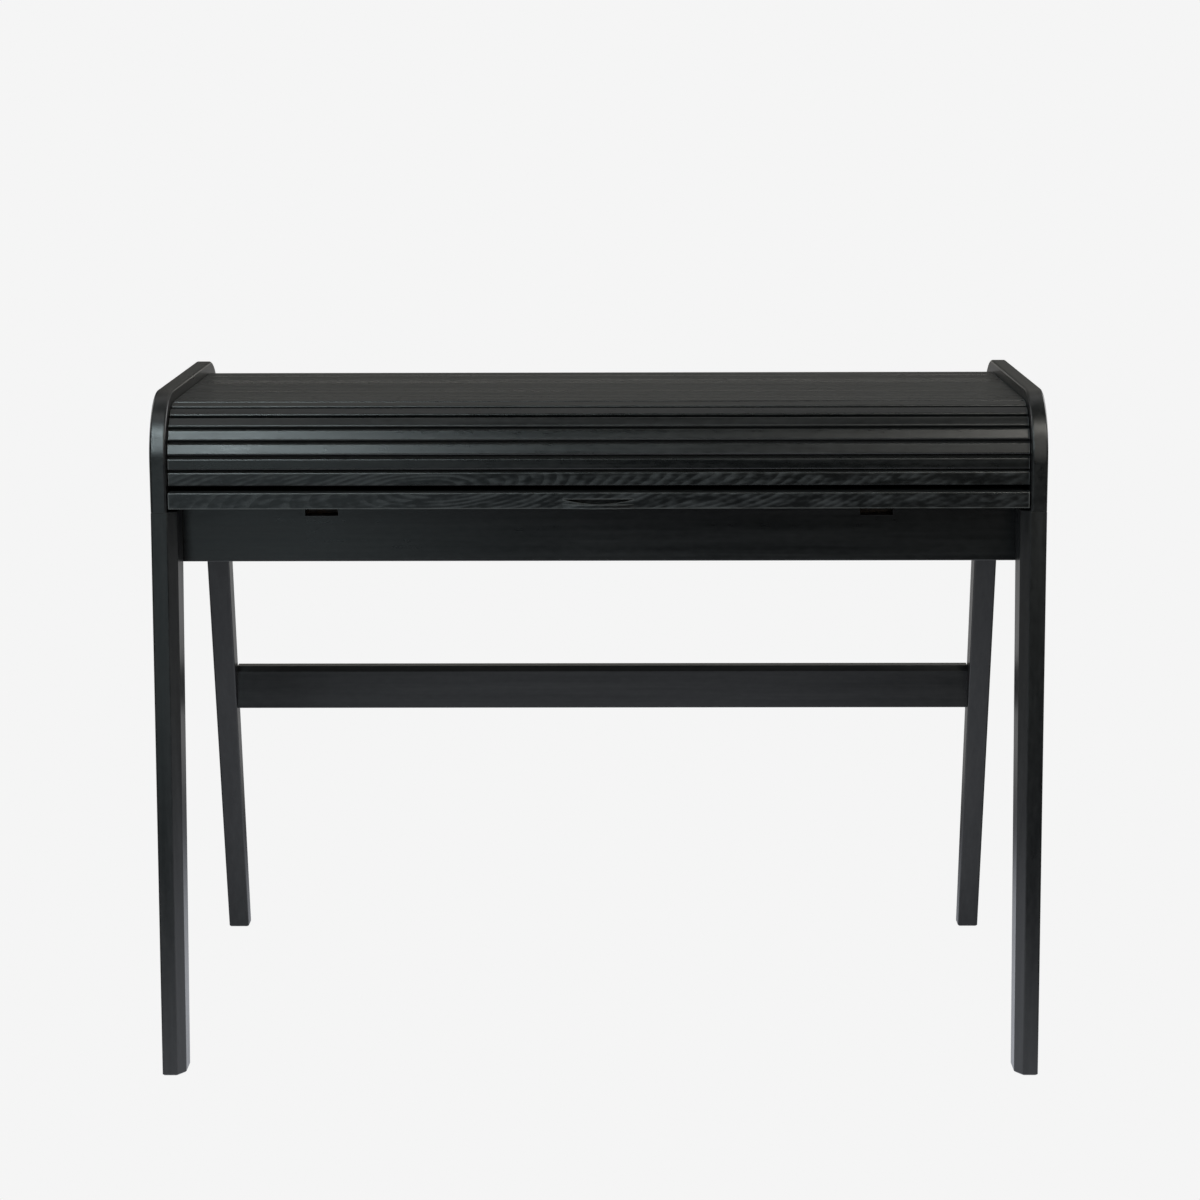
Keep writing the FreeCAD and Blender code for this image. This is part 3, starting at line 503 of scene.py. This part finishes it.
def figured_ash(name, turn, shared):
    """The writing top and the pull rail, whose sawn edges show the most figure, with a painted highlight
    along their rubbed edges.
    """
    return timber(
        name, turn, shared, dark=(0.0014, 0.0020, 0.0022, 1.0), light=(0.0320, 0.0345, 0.0355, 1.0),
        worn_and_highlit=(0.090, 0.092, 0.090, 1.0), rubbing_and_highlight=0.8, ring_width=0.0040, heart_depth=0.0, swirl=3.4,
        contrast=1.05, gloss=0.235, unevenness=0.45, relief=0.00002, dust=0.03, heart=FIGURED_HEART,
        spread=SHORT_SPREAD)


def inner_ash(name, turn, shared):
    """Greyer, duller ash inside the desk."""
    return timber(
        name, turn, shared, dark=(0.009, 0.0092, 0.0095, 1.0), light=(0.022, 0.0222, 0.0225, 1.0),
        worn_and_highlit=(0.050, 0.044, 0.038, 1.0), rubbing_and_highlight=0.4, ring_width=0.0035, heart_depth=0.11, swirl=1.1,
        contrast=0.5, gloss=0.42, unevenness=0.8, relief=0.00008, dust=0.25)


def oiled_runner(name, turn, shared):
    """Brown oiled wood of the runners."""
    return timber(
        name, turn, shared, dark=(0.030, 0.018, 0.011, 1.0), light=(0.080, 0.050, 0.030, 1.0),
        worn_and_highlit=(0.12, 0.08, 0.05, 1.0), rubbing_and_highlight=0.5, ring_width=0.0028, heart_depth=0.05, swirl=1.1,
        contrast=0.6, gloss=0.45, unevenness=0.8, relief=0.00008, dust=0.05)


# ---------------------------------------------------------------- canvas and nylon

CANVAS_SPREAD = (0.37, 0.0, 0.0)
CANVAS_THREAD = 0.0006
CANVAS_DARK = (0.006, 0.006, 0.006, 1.0)
CANVAS_LIGHT = (0.022, 0.021, 0.020, 1.0)
CANVAS_RELIEF = 0.0002

NYLON_SPREAD = (0.4, 0.3, 0.0)
NYLON_PEBBLES = 1400.0
NYLON_SCUFFS = 160.0
SCUFF_RANGE = (0.45, 0.75)
NYLON_BLACK = (0.018, 0.018, 0.019, 1.0)
NYLON_SCUFFED = (0.070, 0.069, 0.067, 1.0)
NYLON_ROUGHNESS = 0.48
SCUFF_ROUGHNESS = 0.2
NYLON_RELIEF = 0.0001


def backing_canvas(shared):
    """Black cotton canvas with a soft nap."""
    material, tree = new_material("backing canvas")
    point, _ = piece_point(tree, ALONG_X, CANVAS_SPREAD)
    weave = place(tree, shared["weave"], {"Vector": point, "Thread": CANVAS_THREAD})
    shader = add(tree, "ShaderNodeBsdfPrincipled", {
        "Base Color": blend(tree, weave["Tone"], CANVAS_DARK, CANVAS_LIGHT),
        "Roughness": 0.92,
        "Normal": bumped(tree, weave["Height"], CANVAS_RELIEF, strength=0.8),
        "Sheen Weight": 0.15,
        "Sheen Roughness": 0.5,
    })
    finish_material(tree, shader)
    return material


def glide_nylon(shared):
    """Black nylon with a fine moulded pebble, scuffed grey where it slides."""
    material, tree = new_material("glide nylon")
    point, _ = piece_point(tree, ALONG_X, NYLON_SPREAD)
    pebble = spots(tree, point, NYLON_PEBBLES)
    scuff = remap(tree, noise(tree, point, detail=5.0, scale=NYLON_SCUFFS), *SCUFF_RANGE, 0.0, 1.0)
    shader = add(tree, "ShaderNodeBsdfPrincipled", {
        "Base Color": blend(tree, scuff, NYLON_BLACK, NYLON_SCUFFED),
        "Roughness": maths(tree, "MULTIPLY_ADD", scuff, SCUFF_ROUGHNESS, NYLON_ROUGHNESS),
        "Normal": bumped(tree, pebble, NYLON_RELIEF, strength=0.5),
    })
    finish_material(tree, shader)
    return material


def dress_nodes(frame, shared):
    """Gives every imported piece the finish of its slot, with the grain along its length."""
    timbers = {
        "case_ash": black_ash, "slat_ash": slat_ash, "inner_ash": inner_ash, "runner_wood": oiled_runner,
    }
    plain = {"glide_plastic": glide_nylon(shared), "backing_cloth": backing_canvas(shared)}
    made = {}
    for node, obj in frame["nodes"].items():
        slot_name = obj.material_slots[0].material.name.split(".")[0]
        if slot_name in plain:
            obj.material_slots[0].material = plain[slot_name]
            continue
        turn = GRAIN_OF.get(node, ALONG_X)
        key = (slot_name, turn)
        if key not in made:
            maker = figured_ash if turn == ASLANT_X else timbers[slot_name]
            made[key] = maker(f"{slot_name} {len(made)}", turn, shared)
        obj.material_slots[0].material = made[key]
    return plain["backing_cloth"]


# ---------------------------------------------------------------- backing cloth

# Roll front: a run of equal cells, one slat to a cell, turning by equal steps at each curve.
CELL = 0.017
CELL_TURN = math.radians(15)
LEVEL_TILT = math.radians(90)
UPRIGHT_CELLS = 2
CURVE_CELLS = 5
LEVEL_CELLS = 20
SLAT_INSET = 0.0015
# From this cell on, the run goes down past the side rails and rear legs, where there are no tracks.
FIRST_FREE_CELL = 21

CLOTH_GLUE_LINE = 0.0003
CLOTH_THICKNESS = 0.0008
CLOTH_DIMPLE = 0.0004
DIMPLE_SHOULDER = 0.8 * CLOTH_DIMPLE
CLOTH_END_SLOPE = math.tan(math.radians(9))
CLOTH_CROSS_STEPS = 48
SAME_PLACE = 1e-6


def roll_cells():
    """Start point and tilt of each cell along the closed roll front, in the plane across the desk."""
    rail_low, rail_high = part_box("pull_rail")
    y, z = rail_high.y, rail_low.z + SLAT_INSET
    curve = [CELL_TURN * step for step in range(1, CURVE_CELLS + 1)]
    tilts = [0.0] * UPRIGHT_CELLS + curve
    tilts += [LEVEL_TILT] * LEVEL_CELLS + [LEVEL_TILT + turn for turn in curve]
    run = []
    for tilt in tilts:
        run.append((y, z, tilt))
        y += CELL * math.sin(tilt)
        z += CELL * math.cos(tilt)
    return run


def cell_number(node):
    """Slats are numbered from the pull rail, which is the first."""
    return 0 if node == "pull_rail" else int(node.rsplit("_", 1)[1]) - 1


def dimple_profile():
    """Shares of a cell's length with the cloth's dip there: none at the slat, deepest between slats."""
    glued = SLAT_INSET / CELL
    return ((0.0, CLOTH_DIMPLE), (glued / 2, DIMPLE_SHOULDER), (glued, 0.0), (0.5, 0.0),
            (1.0 - glued, 0.0), (1.0 - glued / 2, DIMPLE_SHOULDER), (1.0, CLOTH_DIMPLE))


def end_slope(number, count, share):
    """Both ends of a strip slope back, so that neighbours close up in a curve and don't cut in."""
    if number == 0 and share == 0.0:
        return CLOTH_END_SLOPE
    if number == count - 1 and share == 1.0:
        return -CLOTH_END_SLOPE
    return 0.0


def cloth_section(run):
    """Outer and inner lines of the cloth through some cells, dimpled between the slats' glue lines."""
    outer, inner = [], []
    for number, (y, z, tilt) in enumerate(run):
        along = Vector((0.0, math.sin(tilt), math.cos(tilt)))
        inward = Vector((0.0, math.cos(tilt), -math.sin(tilt)))
        start = Vector((0.0, y, z))
        for share, dip in dimple_profile():
            slope = end_slope(number, len(run), share)
            depth = CLOTH_GLUE_LINE + dip
            outer.append(start + along * (CELL * share + slope * depth) + inward * depth)
            depth += CLOTH_THICKNESS
            inner.append(start + along * (CELL * share + slope * depth) + inward * depth)
    return outer, inner


def cloth_strip(body, run, half_width, material):
    """One stretch of the backing cloth."""
    outer, inner = cloth_section(run)
    loop = outer + inner[::-1]
    count = len(loop)
    shape = bmesh.new()
    columns = []
    for step in range(CLOTH_CROSS_STEPS + 1):
        x = half_width * (2.0 * step / CLOTH_CROSS_STEPS - 1.0)
        columns.append([shape.verts.new((x, p.y, p.z)) for p in loop])
    for left, right in zip(columns, columns[1:]):
        for i in range(count):
            j = (i + 1) % count
            shape.faces.new((left[i], left[j], right[j], right[i]))
    for column in (columns[0], columns[-1]):
        for i in range(len(outer) - 1):
            shape.faces.new((column[i], column[i + 1], column[count - 2 - i], column[count - 1 - i]))
    bmesh.ops.remove_doubles(shape, verts=shape.verts, dist=SAME_PLACE)
    bmesh.ops.recalc_face_normals(shape, faces=shape.faces)
    mesh = bpy.data.meshes.new(f"cloth_{body}")
    shape.to_mesh(mesh)
    shape.free()
    mesh.materials.append(material)
    strip = bpy.data.objects.new(f"cloth_{body}", mesh)
    bpy.context.scene.collection.objects.link(strip)
    return strip


def half_length(node):
    """Half of a piece's size along X."""
    low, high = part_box(node)
    return (high.x - low.x) / 2


def hang_cloth(frame, material):
    """The backing cloth, one stretch to each part of the roll front that turns by itself."""
    run = roll_cells()
    for body, members in frame["record"]["behaviour"]["bodies"].items():
        slats = sorted(n for n in members if n == "pull_rail" or n.startswith("slat_"))
        if not slats:
            continue
        numbers = sorted(cell_number(n) for n in slats)
        half_width = half_length(slats[0] if numbers[0] >= FIRST_FREE_CELL else "tambour_cloth")
        strip = cloth_strip(body, [run[i] for i in numbers], half_width, material)
        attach(strip, body)
        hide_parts("tambour_cloth")


# ---------------------------------------------------------------- floor

PAPER_COLOUR = (0.913, 0.913, 0.913, 1.0)
BLACK = (0.0, 0.0, 0.0, 1.0)
FLOOR_RADIUS = 14.0
DISC_SIDES = 96

# Light that the floor throws up: an oval under the desk, and a weak ring around it, dark in front.
GLOW_RADIUS = 8.0
GLOW_HEIGHT = 0.0005
GLOW_MIDDLE = (0.0, -0.48, 0.0)
GLOW_NARROWING = (1.0, 0.62, 1.0)
GLOW_FULL_TO = 0.50
GLOW_NONE_FROM = 1.00
GLOW_COLOUR = (0.97, 1.00, 1.08, 1.0)
AROUND_COLOUR = (0.42, 0.42, 0.42, 1.0)
AROUND_FROM = 0.80
AROUND_FULL_FROM = 1.60
DARK_FRONT_COSINE = 0.80
LIT_SIDE_COSINE = 0.35


def disc(name, radius, height, shader_for):
    """A level disc of the surroundings, with a material of its own."""
    mesh = bpy.data.meshes.new(name)
    shape = bmesh.new()
    bmesh.ops.create_circle(shape, cap_ends=True, segments=DISC_SIDES, radius=radius)
    shape.to_mesh(mesh)
    shape.free()
    material, tree = new_material(name)
    finish_material(tree, shader_for(tree))
    mesh.materials.append(material)
    made = bpy.data.objects.new(name, mesh)
    made.location = (0.0, 0.0, height)
    made.visible_shadow = False
    bpy.context.scene.collection.objects.link(made)
    return made


def even_paper(tree):
    """One even tone from edge to edge."""
    return add(tree, "ShaderNodeEmission", {"Color": PAPER_COLOUR, "Strength": 1.0})


def glowing_paper(tree):
    """The light that the floor throws up: strong under the desk, weak around it and none far in front."""
    here = add(tree, "ShaderNodeTexCoord").outputs["Object"]
    oval = stretched(tree, vectors(tree, "SUBTRACT", here, GLOW_MIDDLE), GLOW_NARROWING)
    near = remap(tree, length_of(tree, oval), GLOW_FULL_TO, GLOW_NONE_FROM, 1.0, 0.0)
    forward = maths(tree, "MULTIPLY", axes_of(tree, vectors(tree, "NORMALIZE", here))[1], -1.0)
    beside = remap(tree, forward, DARK_FRONT_COSINE, LIT_SIDE_COSINE, 0.0, 1.0)
    beyond = remap(tree, length_of(tree, here), AROUND_FROM, AROUND_FULL_FROM, 0.0, 1.0)
    glow = blend(tree, maths(tree, "MULTIPLY", beside, beyond), BLACK, AROUND_COLOUR)
    glow = blend(tree, near, glow, GLOW_COLOUR)
    return add(tree, "ShaderNodeEmission", {"Color": glow, "Strength": 1.0})


def lay_floor():
    """A pale floor of one even tone, and the light that it reflects on the desk."""
    floor = disc("floor", FLOOR_RADIUS, 0.0, even_paper)
    floor.visible_glossy = False
    floor.visible_diffuse = False
    glow = disc("floor_glow", GLOW_RADIUS, GLOW_HEIGHT, glowing_paper)
    glow.visible_camera = False


# ---------------------------------------------------------------- light

SURROUND_COLOUR = (0.035, 0.035, 0.03395, 1.0)
LIGHTS_AIM = Vector((0.0, 0.0, 0.60))
COOL = (0.85, 1.0, 1.04)
WARM = (1.0, 0.975, 0.90)
WHITE = (1.0, 1.0, 1.0)

# Name, azimuth and elevation in degrees, distance, width, height, radiance and colour.
SOFTBOXES = (
    ("strip_left_high", -25.5, 42, 3.2, 0.37, 1.12, 18.6, COOL),
    ("strip_left_low", -17, 24, 3.2, 0.41, 0.90, 13.6, COOL),
    ("strip_right", 36, 42, 3.2, 0.50, 1.12, 17.0, WARM),
    ("fill_right", 21, 18, 3.2, 0.95, 1.60, 1.4, WARM),
    ("low_left", -15, -5, 3.2, 0.80, 0.40, 1.6, COOL),
    ("high_left", -52, 62, 3.2, 0.60, 1.20, 1.8, WHITE),
    ("side_right", 117, 25, 3.4, 2.40, 2.40, 4.0, WHITE),
    ("side_left", -110, 25, 3.4, 2.00, 2.40, 2.5, WHITE),
    ("back_low", 180, 3, 4.0, 3.20, 0.56, 0.55, WARM),
    ("back_high", 176, 40, 4.0, 3.00, 3.40, 0.23, WARM),
    ("back_top", 180, 68, 4.0, 3.00, 1.80, 0.50, WHITE),
)


def softbox(name, azimuth, elevation, distance, width, height, radiance, colour):
    """A rectangular light aimed at the desk; azimuth 0 is in front of it, and positive is to its right."""
    turn, lift = math.radians(azimuth), math.radians(elevation)
    away = Vector((math.sin(turn) * math.cos(lift), -math.cos(turn) * math.cos(lift), math.sin(lift)))
    data = bpy.data.lights.new(name, "AREA")
    data.shape = "RECTANGLE"
    data.size, data.size_y = width, height
    data.energy = radiance * math.pi * width * height
    data.color = colour
    lamp = bpy.data.objects.new(name, data)
    lamp.location = LIGHTS_AIM + away * distance
    lamp.rotation_euler = away.to_track_quat("Z", "Y").to_euler()
    lamp.visible_camera = False
    bpy.context.scene.collection.objects.link(lamp)


def light_studio():
    """Cool strips to the left of the viewer, a warm one to the right, and weak warm light from behind."""
    for row in SOFTBOXES:
        softbox(*row)


def surround_with_paper():
    """Surroundings that look like the floor's paper and give the desk only a little light."""
    world = bpy.data.worlds.new("studio")
    world.use_nodes = True
    bpy.context.scene.world = world
    tree = world.node_tree
    tree.nodes.clear()
    seen = add(tree, "ShaderNodeLightPath").outputs["Is Camera Ray"]
    tone = blend(tree, seen, SURROUND_COLOUR, PAPER_COLOUR)
    glow = add(tree, "ShaderNodeBackground", {"Color": tone, "Strength": 1.0})
    tree.links.new(glow.outputs[0], add(tree, "ShaderNodeOutputWorld").inputs["Surface"])


# ---------------------------------------------------------------- camera

CAMERA_PLACE = Vector((0.0305, -3.978, 1.267))
CAMERA_YAW = math.radians(-0.450)
CAMERA_PITCH = math.radians(10.276)
CAMERA_ROLL = math.radians(-0.161)
CAMERA_LENS_MM = 90.63
CAMERA_SENSOR_MM = 36.0


def set_camera():
    """A camera in front of the desk that looks a little down."""
    forward = Vector((math.sin(CAMERA_YAW) * math.cos(CAMERA_PITCH),
                      math.cos(CAMERA_YAW) * math.cos(CAMERA_PITCH), -math.sin(CAMERA_PITCH)))
    level = Vector((math.cos(CAMERA_YAW), -math.sin(CAMERA_YAW), 0.0))
    upright = level.cross(forward)
    right = level * math.cos(CAMERA_ROLL) + upright * math.sin(CAMERA_ROLL)
    up = upright * math.cos(CAMERA_ROLL) - level * math.sin(CAMERA_ROLL)
    data = bpy.data.cameras.new("camera")
    data.sensor_fit = "HORIZONTAL"
    data.sensor_width = CAMERA_SENSOR_MM
    data.lens = CAMERA_LENS_MM
    data.dof.use_dof = False
    camera = bpy.data.objects.new("camera", data)
    turn = Matrix((right, up, -forward)).transposed().to_4x4()
    camera.matrix_world = Matrix.Translation(CAMERA_PLACE) @ turn
    bpy.context.scene.collection.objects.link(camera)
    bpy.context.scene.camera = camera


# ---------------------------------------------------------------- the scene

def clear_default_scene():
    for obj in list(bpy.data.objects):
        bpy.data.objects.remove(obj, do_unlink=True)


clear_default_scene()
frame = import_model()

shared = {"grain": ash_grain_group(), "wear": edge_wear_and_highlight_group(), "dust": dust_group(), "weave": weave_group()}
canvas = dress_nodes(frame, shared)
hang_cloth(frame, canvas)
lay_floor()
light_studio()
surround_with_paper()
set_camera()
bpy.context.scene.view_settings.view_transform = "Standard"
